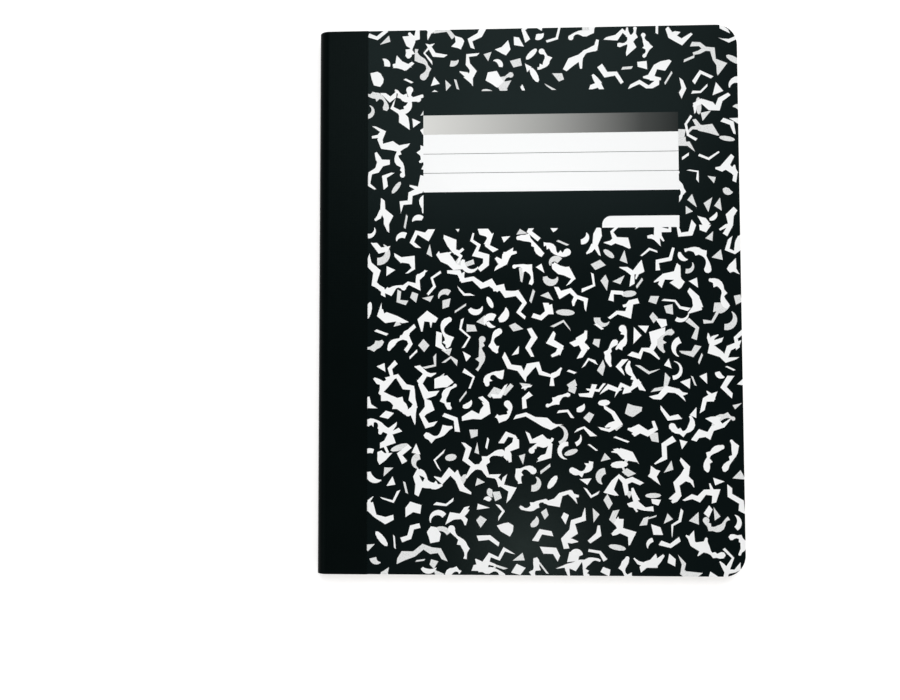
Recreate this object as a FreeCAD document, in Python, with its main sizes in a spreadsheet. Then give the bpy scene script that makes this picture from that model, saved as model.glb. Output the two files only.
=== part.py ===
import FreeCAD, Part

# Composition notebook, lying on its back cover. Millimetres.
# +X runs across the cover from the spine to the fore-edge, +Y runs up the page to the head,
# and +Z points out of the front cover. The origin is at the middle of the underside.
#
# Fifty folded sheets are sewn through the fold as one section. A board lies on each side of
# them, a cloth tape goes round the spine and onto both boards, and the three open sides and
# the two corners are trimmed in one cut. Each cover turns about its shoulder of the spine.

import math
import os
import random

import Sketcher
from FreeCAD import Vector

# Driving dimensions. All but the two counts are lengths.
SIZES = (
    ("book_width", 190.5),
    ("book_length", 247.65),
    ("corner_radius", 9.5),
    ("leaf_count", 100),
    ("leaf_thickness", 0.076),
    ("leaf_unevenness", 0.12),
    ("board_thickness", 0.8),
    ("board_clearance", 0.1),
    ("tape_thickness", 0.22),
    ("tape_width", 22.9),
    ("hinge_width", 2.5),
    ("thread_width", 0.6),
    ("thread_clearance", 0.05),
    ("stitch_pitch", 12.5),
    ("stitch_margin", 12.0),
    ("ink_thickness", 0.03),
    ("label_left", 48.3),
    ("label_top", 28.9),
    ("label_width", 115.3),
    ("label_height", 63.4),
    ("title_height", 11.0),
    ("band_height", 8.9),
    ("row_count", 3),
    ("row_pitch", 8.85),
    ("rule_width", 0.2),
    ("tab_width", 34.5),
    ("tab_height", 5.3),
    ("tab_radius", 4.0),
    ("panel_width", 50.0),
    ("panel_height", 33.0),
    ("panel_margin", 7.0),
    ("code_width", 24.0),
    ("code_height", 17.0),
    ("fleck_pitch", 14.2),
    ("fleck_reach", 9.6),
)

# Places that follow from the driving dimensions, in the book's frame. The folded pieces are
# drawn about the middle of the book's thickness, which is at mid_z.
PLACES = (
    ("spine_x", "-Sizes.book_width / 2"),
    ("fore_x", "Sizes.book_width / 2"),
    ("leaves_x", "fore_x - Sizes.leaf_unevenness"),
    ("corner_x", "fore_x - Sizes.corner_radius"),
    ("tape_x", "spine_x + Sizes.tape_width"),
    ("head_y", "Sizes.book_length / 2"),
    ("corner_y", "head_y - Sizes.corner_radius"),
    ("leaves_z", "Sizes.leaf_count * Sizes.leaf_thickness / 2"),
    ("mid_z", "Sizes.tape_thickness + Sizes.board_thickness + Sizes.board_clearance + leaves_z"),
    ("fold_z", "mid_z - Sizes.tape_thickness"),
    ("back_board_z", "Sizes.tape_thickness"),
    ("front_ink_z", "mid_z + fold_z"),
    ("front_board_z", "front_ink_z - Sizes.board_thickness"),
    ("shoulder_x", "spine_x + mid_z"),
    ("board_x", "shoulder_x + Sizes.hinge_width"),
    ("fold_x", "shoulder_x - fold_z"),
    ("stitch_room", "Sizes.book_length - 2 * Sizes.stitch_margin - Sizes.thread_width"),
    ("stitch_count", "floor(stitch_room / Sizes.stitch_pitch) + 1"),
    ("stitch_span", "(stitch_count - 1) * Sizes.stitch_pitch"),
    ("thread_size", "Sizes.thread_width"),
    ("thread_outer_low", "fold_x + Sizes.thread_clearance"),
    ("thread_outer_high", "thread_outer_low + thread_size"),
    ("thread_inner_low", "shoulder_x"),
    ("thread_inner_high", "shoulder_x + thread_size"),
    ("thread_y", "(stitch_span + thread_size) / 2"),
    ("thread_stitch_y", "thread_y - thread_size"),
    ("channel_size", "thread_size + 2 * Sizes.thread_clearance"),
    ("channel_outer_low", "fold_x - Sizes.thread_clearance"),
    ("channel_outer_high", "thread_outer_high + Sizes.thread_clearance"),
    ("channel_inner_low", "thread_inner_low - Sizes.thread_clearance"),
    ("channel_inner_high", "thread_inner_high + Sizes.thread_clearance"),
    ("channel_y", "thread_y + Sizes.thread_clearance"),
    ("channel_stitch_y", "thread_stitch_y - Sizes.thread_clearance"),
)

# Bands of leaves that stand proud at the trimmed edges. Each is given by the shares of the
# half block, counted from its middle leaf, at which the band starts and ends.
PROUD_BANDS = ((0.25, 0.37), (0.52, 0.64), (0.8, 0.92))

# Shares of the marbling's flecks: plain shards, then bent ribbons, and the rest are forked.
SHARD_SHARE = 0.34
RIBBON_SHARE = 0.42

# Each cover has its own throw of flecks. The jitter is how far a fleck strays from its place
# on the grid, as a share of the pitch, and a corner from its even angle.
FRONT_SEED = 41
BACK_SEED = 77
JITTER_SHARE = 0.22

# Least and most of each fleck's measures, as shares of the fleck's reach. A bend is in radians.
SHARD_ARM_SHARES = (0.42, 0.78)
SHARD_FLAT_RATIO = 0.62
RIBBON_BEND_ANGLES = (0.5, 1.2)
RIBBON_WIDE_SHARES = (0.2, 0.32)
RIBBON_TAPER_RATIOS = (0.35, 0.9)
RIBBON_ARM_SHARES = (0.8, 1.05)
FORK_TIP_SHARES = (0.85, 1.2)
FORK_DIP_SHARES = (0.2, 0.36)

# Heights nearer than this are the same height.
SAME_HEIGHT = 0.001

doc = FreeCAD.newDocument("Notebook")


def make_sheet():
    sheet = doc.addObject("Spreadsheet::Sheet", "Sizes")
    for row, (alias, value) in enumerate(SIZES, start=1):
        sheet.set(f"A{row}", alias)
        sheet.set(f"B{row}", str(value))
        sheet.setAlias(f"B{row}", alias)
    doc.recompute()
    return sheet


def make_places():
    places = doc.addObject("App::VarSet", "Places")
    for name, formula in PLACES:
        add_place(places, name, formula)
    return places


def add_place(places, name, formula):
    places.addProperty("App::PropertyFloat", name, "Places")
    places.setExpression(name, formula)
    doc.recompute()


sizes = make_sheet()
places = make_places()


def value_of(name):
    """The number behind a place, whose name may carry a minus sign. No name is the middle."""
    if name is None:
        return 0
    sign = -1 if name.startswith("-") else 1
    return sign * getattr(places, name.lstrip("-"))


def bound(name):
    sign = "-" if name.startswith("-") else ""
    return f"{sign}Places.{name.lstrip('-')}"


def new_body(name, height=None):
    body = doc.addObject("PartDesign::Body", name)
    body.Label = name
    if height:
        body.setExpression("Placement.Base.z", bound(height))
    return body


def new_sketch(body, name, role):
    sketch = body.newObject("Sketcher::SketchObject", name)
    plane = next(item for item in body.Origin.OriginFeatures if item.Role == role)
    sketch.AttachmentSupport = (plane, [""])
    sketch.MapMode = "FlatFace"
    return sketch


def fix(sketch, kind, edge, end, name):
    """Hold one coordinate of a point of the sketch at a named place."""
    number = sketch.addConstraint(Sketcher.Constraint(kind, edge, end, value_of(name)))
    sketch.setExpression(f"Constraints[{number}]", bound(name))


def draw(sketch, corners, arcs=None):
    """Draw a closed outline through named corners.

    arcs gives, for each side that is round, its centre and the way it turns: 1 is
    anticlockwise. The other sides are straight.
    """
    arcs = arcs or {}
    first = sketch.GeometryCount
    points = [Vector(value_of(x), value_of(y), 0) for x, y in corners]
    starts = []
    for side, start in enumerate(points):
        finish = points[(side + 1) % len(points)]
        if side not in arcs:
            sketch.addGeometry(Part.LineSegment(start, finish))
            starts.append(1)
            continue
        (centre_x, centre_y), turn = arcs[side]
        centre = Vector(value_of(centre_x), value_of(centre_y), 0)
        circle = Part.Circle(centre, Vector(0, 0, 1), (start - centre).Length)
        spokes = (start - centre, finish - centre) if turn > 0 else (finish - centre, start - centre)
        angles = [math.atan2(spoke.y, spoke.x) for spoke in spokes]
        if angles[1] < angles[0]:
            angles[1] += 2 * math.pi
        sketch.addGeometry(Part.ArcOfCircle(circle, *angles))
        starts.append(1 if turn > 0 else 2)
    for side, (x, y) in enumerate(corners):
        edge = first + side
        following = (side + 1) % len(corners)
        sketch.addConstraint(Sketcher.Constraint(
            "Coincident", edge, 3 - starts[side], first + following, starts[following]))
        fix(sketch, "DistanceX", edge, starts[side], x)
        fix(sketch, "DistanceY", edge, starts[side], y)
        if side in arcs:
            fix(sketch, "DistanceX", edge, 3, arcs[side][0][0])


def rectangle(x_low, x_high, y_low, y_high):
    return [(x_low, y_low), (x_high, y_low), (x_high, y_high), (x_low, y_high)]


def extrude(body, sketch, length, symmetric=True, kind="PartDesign::Pad"):
    """Pad a sketch, or cut it as a pocket, by a length given as an expression."""
    feature = body.newObject(kind, f"{sketch.Name}_{kind.split('::')[1].lower()}")
    feature.Profile = sketch
    feature.SideType = "Symmetric" if symmetric else "One side"
    feature.setExpression("Length", length)
    doc.recompute()
    return feature


def cover_board(name, height):
    """One pressed board. It starts beyond the hinge, and its fore-edge corners are round."""
    body = new_body(name, height)
    sketch = new_sketch(body, f"{name}_outline", "XY_Plane")
    corners = [
        ("board_x", "-head_y"),
        ("corner_x", "-head_y"),
        ("fore_x", "-corner_y"),
        ("fore_x", "corner_y"),
        ("corner_x", "head_y"),
        ("board_x", "head_y"),
    ]
    rounds = {1: (("corner_x", "-corner_y"), 1), 3: (("corner_x", "corner_y"), 1)}
    draw(sketch, corners, rounds)
    extrude(body, sketch, "Sizes.board_thickness", symmetric=False)
    return body


def folded_leaf(fore, flat, fold):
    """Corners of a folded leaf from one fore-edge to the other.

    It is flat under the board, swells beside the sewing and goes round the fold.
    """
    upper = [(fore, flat), ("board_x", flat), ("shoulder_x", fold)]
    return upper + [(x, f"-{z}") for x, z in reversed(upper)]


def band_of_leaves(body, number, shares):
    """A proud band: the space between an inner and an outer folded leaf."""
    outlines = []
    for edge, share in zip(("inner", "outer"), shares):
        flat, fold = (f"band_{number}_{edge}_{part}" for part in ("flat", "fold"))
        add_place(places, flat, f"leaves_z * {share}")
        add_place(places, fold, f"fold_z * {share}")
        outlines.append(folded_leaf("fore_x", flat, fold))
    inner, outer = outlines
    sketch = new_sketch(body, f"band_{number}", "XZ_Plane")
    centre = ("shoulder_x", None)
    draw(sketch, outer + inner[::-1], {2: (centre, 1), 8: (centre, -1)})
    extrude(body, sketch, "Sizes.book_length")


def page_block():
    """The sewn section of folded leaves, uneven at the trimmed edges."""
    body = new_body("page_block", "mid_z")
    sketch = new_sketch(body, "leaves", "XZ_Plane")
    outline = folded_leaf("leaves_x", "leaves_z", "fold_z")
    draw(sketch, outline, {2: (("shoulder_x", None), 1)})
    extrude(body, sketch, "Sizes.book_length - 2 * Sizes.leaf_unevenness")
    for number, shares in enumerate(PROUD_BANDS):
        band_of_leaves(body, number, shares)
    trim_corners(body)
    lockstitch(body, "channel", "PartDesign::Pocket")
    return body


def trim_corners(body):
    """Cut both fore-edge corners round, through all the leaves at once."""
    for name, sign, turn in (("head_trim", "", 1), ("tail_trim", "-", -1)):
        sketch = new_sketch(body, name, "XY_Plane")
        head, corner = f"{sign}head_y", f"{sign}corner_y"
        waste = [("fore_x", corner), ("corner_x", head), ("fore_x", head)]
        draw(sketch, waste, {0: (("corner_x", corner), turn)})
        extrude(body, sketch, "2 * Places.mid_z", kind="PartDesign::Pocket")


def lockstitch(body, name, kind):
    """A run of thread outside the fold, a run inside it, and a stitch through at each hole.

    The same form, grown by the thread's clearance, is its channel in the leaves.
    """
    size = f"Places.{name}_size"
    for run in ("outer", "inner"):
        sketch = new_sketch(body, f"{name}_{run}", "XY_Plane")
        sides = (f"{name}_{run}_low", f"{name}_{run}_high", f"-{name}_y", f"{name}_y")
        draw(sketch, rectangle(*sides))
        extrude(body, sketch, size, kind=kind)
    sketch = new_sketch(body, f"{name}_stitch", "XY_Plane")
    sides = (f"{name}_outer_low", f"{name}_inner_high", f"-{name}_y", f"-{name}_stitch_y")
    draw(sketch, rectangle(*sides))
    stitch = extrude(body, sketch, size, kind=kind)
    row = body.newObject("PartDesign::LinearPattern", f"{name}_row")
    row.Originals = [stitch]
    row.Direction = (sketch, ["V_Axis"])
    row.setExpression("Length", "Places.stitch_span")
    row.setExpression("Occurrences", "Places.stitch_count")
    body.Tip = row
    doc.recompute()


def sewing_thread():
    body = new_body("sewing_thread", "mid_z")
    lockstitch(body, "thread", "PartDesign::Pad")
    return body


def spine_tape():
    """The part of the cloth tape that is glued round the fold, from shoulder to shoulder."""
    body = new_body("spine_tape", "mid_z")
    sketch = new_sketch(body, "tape_section", "XZ_Plane")
    corners = [
        ("shoulder_x", "mid_z"),
        ("shoulder_x", "-mid_z"),
        ("shoulder_x", "-fold_z"),
        ("shoulder_x", "fold_z"),
    ]
    centre = ("shoulder_x", None)
    draw(sketch, corners, {0: (centre, 1), 2: (centre, -1)})
    extrude(body, sketch, "Sizes.book_length")
    return body


def tape_flap(name, height=None):
    """The part of the tape that lies on a board and turns with it."""
    body = new_body(name, height)
    sketch = new_sketch(body, f"{name}_outline", "XY_Plane")
    draw(sketch, rectangle("shoulder_x", "tape_x", "-head_y", "head_y"))
    extrude(body, sketch, "Sizes.tape_thickness", symmetric=False)
    return body


def flat_patch(left, top, width, height, z):
    """A flat rectangle on a cover, placed from the spine and from the head."""
    corner = Vector(places.spine_x + left, places.head_y - top - height, z)
    return Part.makePlane(width, height, corner)


def shard(rng, reach):
    """Corners of a plain three or four cornered fleck."""
    count = rng.choice((3, 4))
    corners = []
    for number in range(count):
        angle = 2 * math.pi * (number + rng.uniform(-JITTER_SHARE, JITTER_SHARE)) / count
        length = reach * rng.uniform(*SHARD_ARM_SHARES)
        corners.append((length * math.cos(angle), SHARD_FLAT_RATIO * length * math.sin(angle)))
    return corners


def ribbon(rng, reach):
    """Corners of a ribbon bent once: two tapered arms that meet at an elbow."""
    bend = rng.uniform(*RIBBON_BEND_ANGLES) * rng.choice((-1, 1))
    wide = reach * rng.uniform(*RIBBON_WIDE_SHARES)
    narrow = wide * rng.uniform(*RIBBON_TAPER_RATIOS)
    arm = reach * rng.uniform(*RIBBON_ARM_SHARES)
    drop = math.sin(bend)
    level = math.cos(bend)
    ends = ((-arm, 0), (arm * level, arm * drop))
    return [
        (ends[0][0], narrow),
        (-wide * drop / 2, wide),
        (ends[1][0] - narrow * drop, ends[1][1] + narrow * level),
        (ends[1][0] + narrow * drop, ends[1][1] - narrow * level),
        (wide * drop / 2, -wide),
        (ends[0][0], -narrow),
    ]


def fork(rng, reach):
    """Corners of a fleck with three pointed arms."""
    corners = []
    for number in range(3):
        angle = 2 * math.pi * (number + rng.uniform(-JITTER_SHARE, JITTER_SHARE)) / 3
        tip = reach * rng.uniform(*FORK_TIP_SHARES)
        dip = reach * rng.uniform(*FORK_DIP_SHARES)
        corners.append((tip * math.cos(angle), tip * math.sin(angle)))
        between = angle + math.pi / 3
        corners.append((dip * math.cos(between), dip * math.sin(between)))
    return corners


def marbling(seed, z):
    """Flat flecks, strewn on a staggered grid over a whole cover."""
    rng = random.Random(seed)
    pitch = sizes.fleck_pitch
    columns = math.ceil(sizes.book_width / pitch) + 1
    rows = math.ceil(sizes.book_length / pitch) + 1
    flecks = []
    for row in range(rows):
        for column in range(columns):
            stagger = (row % 2) / 2
            x = places.fore_x - (column + stagger + rng.uniform(-JITTER_SHARE, JITTER_SHARE)) * pitch
            y = places.head_y - (row + rng.uniform(-JITTER_SHARE, JITTER_SHARE)) * pitch
            turn = rng.uniform(0, 2 * math.pi)
            form = rng.random()
            if form < SHARD_SHARE:
                corners = shard(rng, sizes.fleck_reach)
            elif form < SHARD_SHARE + RIBBON_SHARE:
                corners = ribbon(rng, sizes.fleck_reach)
            else:
                corners = fork(rng, sizes.fleck_reach)
            points = []
            for across, along in corners:
                spot_x = x + across * math.cos(turn) - along * math.sin(turn)
                spot_y = y + across * math.sin(turn) + along * math.cos(turn)
                points.append(Vector(spot_x, spot_y, z))
            flecks.append(Part.Face(Part.makePolygon(points + points[:1])))
    return flecks


def ink_film(name, board, side, seed, clear, windows):
    """The black print on a board, beyond the tape, with the flecks and windows left white.

    side is 1 on the front and -1 on the back. No fleck lies in the clear patch.
    """
    bounds = board.Shape.BoundBox
    z = bounds.ZMax if side > 0 else bounds.ZMin
    outline = next(face for face in board.Shape.Faces
                   if face.BoundBox.ZLength < SAME_HEIGHT
                   and abs(face.BoundBox.ZMax - z) < SAME_HEIGHT)
    beyond_tape = flat_patch(sizes.tape_width, 0, sizes.book_width, sizes.book_length, z)
    flecks = Part.makeCompound(marbling(seed, z)).cut(clear(z))
    printed = outline.common(beyond_tape).cut([flecks] + windows(z))
    film = doc.addObject("Part::Feature", name)
    film.Label = name
    ground = max(printed.Faces, key=lambda face: face.Area)
    film.Shape = ground.extrude(Vector(0, 0, side * sizes.ink_thickness))
    return film


def label_patch(z):
    return flat_patch(sizes.label_left, sizes.label_top, sizes.label_width, sizes.label_height, z)


def label_windows(z):
    """The label's white rows, its shaded band and its white tab."""
    left = sizes.label_left
    top = sizes.label_top + sizes.title_height
    windows = [flat_patch(left, top, sizes.label_width, sizes.band_height, z)]
    top += sizes.band_height
    for row in range(int(sizes.row_count)):
        rule = sizes.rule_width if row else 0
        start = top + row * sizes.row_pitch + rule
        windows.append(flat_patch(left, start, sizes.label_width, sizes.row_pitch - rule, z))
    tab_left = left + sizes.label_width - sizes.tab_width
    tab_top = sizes.label_top + sizes.label_height - sizes.tab_height
    radius = sizes.tab_radius
    below = sizes.tab_height - radius
    windows.append(flat_patch(tab_left + radius, tab_top, sizes.tab_width - radius, radius, z))
    windows.append(flat_patch(tab_left, tab_top + radius, sizes.tab_width, below, z))
    centre = Vector(places.spine_x + tab_left + radius, places.head_y - tab_top - radius, z)
    windows.append(Part.Face(Part.Wire(Part.makeCircle(radius, centre))))
    return windows


def back_panel_patch(z):
    """The plain panel near the tail of the back cover, set in from the fore-edge."""
    left = sizes.book_width - sizes.panel_margin - sizes.panel_width
    top = sizes.book_length - sizes.panel_margin - sizes.panel_height
    return flat_patch(left, top, sizes.panel_width, sizes.panel_height, z)


def back_panel_windows(z):
    """One plain white field on the panel, centred up its height."""
    inset = (sizes.panel_height - sizes.code_height) / 2
    left = sizes.book_width - sizes.panel_margin - inset - sizes.code_width
    top = sizes.book_length - sizes.panel_margin - inset - sizes.code_height
    return [flat_patch(left, top, sizes.code_width, sizes.code_height, z)]


def title_band():
    """The shaded band above the writing rows, printed flush with the black."""
    band = doc.addObject("Part::Box", "title_band")
    band.Label = "title_band"
    band.setExpression("Length", "Sizes.label_width")
    band.setExpression("Width", "Sizes.band_height")
    band.setExpression("Height", "Sizes.ink_thickness")
    band.setExpression("Placement.Base.x", "Places.spine_x + Sizes.label_left")
    drop = "Sizes.label_top + Sizes.title_height + Sizes.band_height"
    band.setExpression("Placement.Base.y", f"Places.head_y - ({drop})")
    band.setExpression("Placement.Base.z", "Places.front_ink_z")
    doc.recompute()
    return band


def check(nodes):
    """Stop on a feature that failed, or on a piece with no sound solid."""
    for item in doc.Objects:
        if "Invalid" in item.State or "Error" in item.State:
            raise RuntimeError(f"{item.Label} failed")
    for node in nodes:
        shape = node.Shape
        if shape.isNull() or not shape.isValid() or not shape.Solids:
            raise RuntimeError(f"{node.Label} has no sound solid")


def write(nodes):
    os.makedirs("parts", exist_ok=True)
    for node in nodes:
        node.Shape.exportStep(f"parts/{node.Label}.step")
        print(f"{node.Label}: {len(node.Shape.Solids)} solid, {node.Shape.Volume:.1f} mm3")


front_board = cover_board("front_cover", "front_board_z")
back_board = cover_board("back_cover", "back_board_z")
nodes = [
    front_board,
    back_board,
    page_block(),
    sewing_thread(),
    spine_tape(),
    tape_flap("front_tape", "front_ink_z"),
    tape_flap("back_tape"),
    ink_film("front_print", front_board, 1, FRONT_SEED, label_patch, label_windows),
    ink_film("back_print", back_board, -1, BACK_SEED, back_panel_patch, back_panel_windows),
    title_band(),
]
doc.recompute()
check(nodes)
write(nodes)
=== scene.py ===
import math
import random

import bmesh
import bpy
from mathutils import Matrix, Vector
from mathutils.geometry import delaunay_2d_cdt


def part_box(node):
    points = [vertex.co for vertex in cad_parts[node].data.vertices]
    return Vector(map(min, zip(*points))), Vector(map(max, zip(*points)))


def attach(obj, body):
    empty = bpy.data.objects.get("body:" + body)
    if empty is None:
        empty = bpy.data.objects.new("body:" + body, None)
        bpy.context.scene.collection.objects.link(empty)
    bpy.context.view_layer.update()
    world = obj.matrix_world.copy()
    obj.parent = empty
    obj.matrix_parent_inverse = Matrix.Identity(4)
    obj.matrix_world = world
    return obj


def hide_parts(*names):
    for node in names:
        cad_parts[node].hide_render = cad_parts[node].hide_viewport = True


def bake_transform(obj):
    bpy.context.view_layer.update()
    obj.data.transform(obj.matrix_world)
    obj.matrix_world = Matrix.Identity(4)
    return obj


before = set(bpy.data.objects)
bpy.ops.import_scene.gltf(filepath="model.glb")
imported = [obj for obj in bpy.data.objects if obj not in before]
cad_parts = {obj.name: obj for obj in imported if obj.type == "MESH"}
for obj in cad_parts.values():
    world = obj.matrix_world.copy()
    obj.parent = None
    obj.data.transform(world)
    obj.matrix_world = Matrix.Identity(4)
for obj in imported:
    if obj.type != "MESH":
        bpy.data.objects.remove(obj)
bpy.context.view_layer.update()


# Section of leaves
# Fifty ruled sheets are folded together and sewn through the fold. They are trimmed as one, so
# each sheet shows as a thin U at the head and the tail, and as a fine line at the fore-edge.

MM = 0.001

block_low, block_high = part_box("page_block")
board_low, board_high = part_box("front_cover")
spine_low, spine_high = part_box("spine_tape")
spine_x, shoulder_x = spine_low.x, spine_high.x
board_x, fore_x = board_low.x, board_high.x
head_y = board_high.y
mid_z = spine_high.z / 2
fold_reach = shoulder_x - block_low.x

CORNER_RADIUS = 9.5 * MM
SHEET_COUNT = 50
LEAF_PITCH = 0.076 * MM
LEAF_PAPER = 0.066 * MM
LEAF_UNEVENNESS = 0.11 * MM
LEAF_SEED = 5
leaves_z = SHEET_COUNT * LEAF_PITCH


def corner_drop(distance, radius):
    """How far a round corner has pulled the edge in, at a distance from the fore-edge."""
    if distance >= radius:
        return 0.0
    return radius - math.sqrt(radius ** 2 - (radius - distance) ** 2)


def outer_leaf_path(corner_steps=9, shoulder_steps=6, fold_steps=18):
    """Points (x, z) of the outermost leaf, from its upper fore-edge round to its lower one."""
    upper = []
    for step in range(corner_steps + 1):
        angle = 0.5 * math.pi * step / corner_steps
        upper.append((fore_x - CORNER_RADIUS * (1 - math.cos(angle)), leaves_z))
    upper.append((0.5 * (board_x + fore_x), leaves_z))
    for step in range(shoulder_steps + 1):
        share = step / shoulder_steps
        rise = share * share * (3 - 2 * share)
        x = board_x + (shoulder_x - board_x) * share
        upper.append((x, leaves_z + (fold_reach - leaves_z) * rise))
    fold = []
    for step in range(1, fold_steps):
        angle = 0.5 * math.pi + math.pi * step / fold_steps
        x = shoulder_x + fold_reach * math.cos(angle)
        fold.append((x, fold_reach * math.sin(angle)))
    return upper + fold + [(x, -z) for x, z in reversed(upper)]


def outer_leaf_mesh():
    """The outermost sheet as a bare surface, folded round all the others."""
    path = outer_leaf_path()
    mesh = bpy.data.meshes.new("outer_leaf")
    verts = []
    for x, z in path:
        reach = head_y - corner_drop(fore_x - x, CORNER_RADIUS)
        verts += [(x, -reach, z), (x, reach, z)]
    faces = [(2 * i, 2 * i + 1, 2 * i + 3, 2 * i + 2) for i in range(len(path) - 1)]
    mesh.from_pydata(verts, [], faces)
    return mesh


class Tree:
    """A node tree under construction, with short calls for adding and joining nodes."""

    def __init__(self, tree):
        self.tree = tree

    def add(self, kind, values=None, **settings):
        node = self.tree.nodes.new(kind)
        for name, value in settings.items():
            setattr(node, name, value)
        for name, value in (values or {}).items():
            if isinstance(value, bpy.types.NodeSocket):
                self.tree.links.new(value, node.inputs[name])
            else:
                node.inputs[name].default_value = value
        return node

    def join(self, source, target):
        self.tree.links.new(source, target)

    def math(self, operation, *terms):
        return self.add("ShaderNodeMath", dict(enumerate(terms)), operation=operation).outputs[0]

    def mix(self, share, first, second):
        """A blend of two colours, each a value or a socket."""
        values = {"Factor": share, 6: first, 7: second}
        return self.add("ShaderNodeMix", values, data_type="RGBA").outputs[2]


def nested_leaves_tree(paper):
    """Nest the outermost leaf inside itself, each copy smaller by one leaf all round."""
    group = bpy.data.node_groups.new("nested_leaves", "GeometryNodeTree")
    for name, kind, value in (
        ("Outer leaf", "NodeSocketGeometry", None),
        ("Sheets", "NodeSocketInt", SHEET_COUNT),
        ("Shoulder", "NodeSocketFloat", shoulder_x),
        ("Fore-edge", "NodeSocketFloat", fore_x),
        ("Unevenness", "NodeSocketFloat", LEAF_UNEVENNESS),
        ("Middle height", "NodeSocketFloat", mid_z),
        ("Seed", "NodeSocketInt", LEAF_SEED),
        ("Paper", "NodeSocketMaterial", paper),
    ):
        socket = group.interface.new_socket(name, in_out="INPUT", socket_type=kind)
        if value is not None:
            socket.default_value = value
    group.interface.new_socket("Leaves", in_out="OUTPUT", socket_type="NodeSocketGeometry")
    tree = Tree(group)
    given = tree.add("NodeGroupInput").outputs
    points = tree.add("GeometryNodePoints", {"Count": given["Sheets"]})
    number = tree.add("GeometryNodeInputIndex").outputs[0]
    kept = tree.add("GeometryNodeCaptureAttribute", {"Geometry": points.outputs[0]}, domain="POINT")
    kept.capture_items.new("INT", "Number")
    tree.join(number, kept.inputs["Number"])
    copies = tree.add("GeometryNodeInstanceOnPoints",
                      {"Points": kept.outputs["Geometry"], "Instance": given["Outer leaf"]})
    real = tree.add("GeometryNodeRealizeInstances", {"Geometry": copies.outputs[0]})
    sheet = kept.outputs["Number"]
    size = tree.math("SUBTRACT", 1.0, tree.math("DIVIDE", sheet, given["Sheets"]))
    place = tree.add("ShaderNodeSeparateXYZ", {0: tree.add("GeometryNodeInputPosition").outputs[0]})
    x, y, z = place.outputs
    beyond = tree.math("MAXIMUM", x, given["Shoulder"])
    within = tree.math("SUBTRACT", tree.math("MINIMUM", x, given["Shoulder"]), given["Shoulder"])
    span = tree.math("SUBTRACT", given["Fore-edge"], given["Shoulder"])
    share = tree.math("DIVIDE", tree.math("SUBTRACT", beyond, given["Shoulder"]), span)

    def loose(seed_step, spread):
        seed = tree.math("ADD", given["Seed"], seed_step)
        draw = tree.add("FunctionNodeRandomValue", {"ID": sheet, "Seed": seed}, data_type="FLOAT")
        return tree.math("MULTIPLY", draw.outputs["Value"], spread)

    back = tree.math("MULTIPLY", share, loose(0, given["Unevenness"]))
    new_x = tree.math("SUBTRACT", tree.math("ADD", beyond, tree.math("MULTIPLY", within, size)), back)
    shorter = tree.math("MULTIPLY", tree.math("SIGN", y), loose(1, given["Unevenness"]))
    new_y = tree.math("SUBTRACT", y, shorter)
    new_z = tree.math("ADD", tree.math("MULTIPLY", z, size), given["Middle height"])
    spot = tree.add("ShaderNodeCombineXYZ", {"X": new_x, "Y": new_y, "Z": new_z})
    moved = tree.add("GeometryNodeSetPosition",
                     {"Geometry": real.outputs[0], "Position": spot.outputs[0]})
    dressed = tree.add("GeometryNodeSetMaterial",
                       {"Geometry": moved.outputs[0], "Material": given["Paper"]})
    tree.add("NodeGroupOutput", {"Leaves": dressed.outputs[0]})
    return group


def evaluated_copy(name, source):
    """A plain mesh object from what an object's modifiers make. The source is removed."""
    graph = bpy.context.evaluated_depsgraph_get()
    mesh = bpy.data.meshes.new_from_object(source.evaluated_get(graph))
    mesh.name = name
    bpy.data.objects.remove(source)
    return place_piece(name, mesh)


def place_piece(name, mesh):
    piece = bpy.data.objects.new(name, mesh)
    bpy.context.scene.collection.objects.link(piece)
    return piece


def new_material(name):
    """A material with its Principled shader, and the tree to build its finish in."""
    material = bpy.data.materials.new(name)
    material.use_nodes = True
    shader = material.node_tree.nodes["Principled BSDF"]
    return material, Tree(material.node_tree), shader


def flatness(tree):
    """How flat a face lies in its own piece, however that is turned: 0 for a cut edge, 1 flat."""
    facing = tree.add("ShaderNodeVectorTransform",
                      {0: tree.add("ShaderNodeNewGeometry").outputs["True Normal"]},
                      vector_type="NORMAL", convert_from="WORLD", convert_to="OBJECT")
    parts = tree.add("ShaderNodeSeparateXYZ", {0: facing.outputs[0]})
    return tree.math("ABSOLUTE", parts.outputs["Z"])


def new_effect(name, inputs, outputs):
    """An empty shader node group with named inputs and outputs."""
    group = bpy.data.node_groups.new(name, "ShaderNodeTree")
    for socket_name, kind, value in inputs:
        socket = group.interface.new_socket(socket_name, in_out="INPUT", socket_type=kind)
        socket.default_value = value
    for socket_name, kind in outputs:
        group.interface.new_socket(socket_name, in_out="OUTPUT", socket_type=kind)
    tree = Tree(group)
    return group, tree, tree.add("NodeGroupInput").outputs


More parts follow.
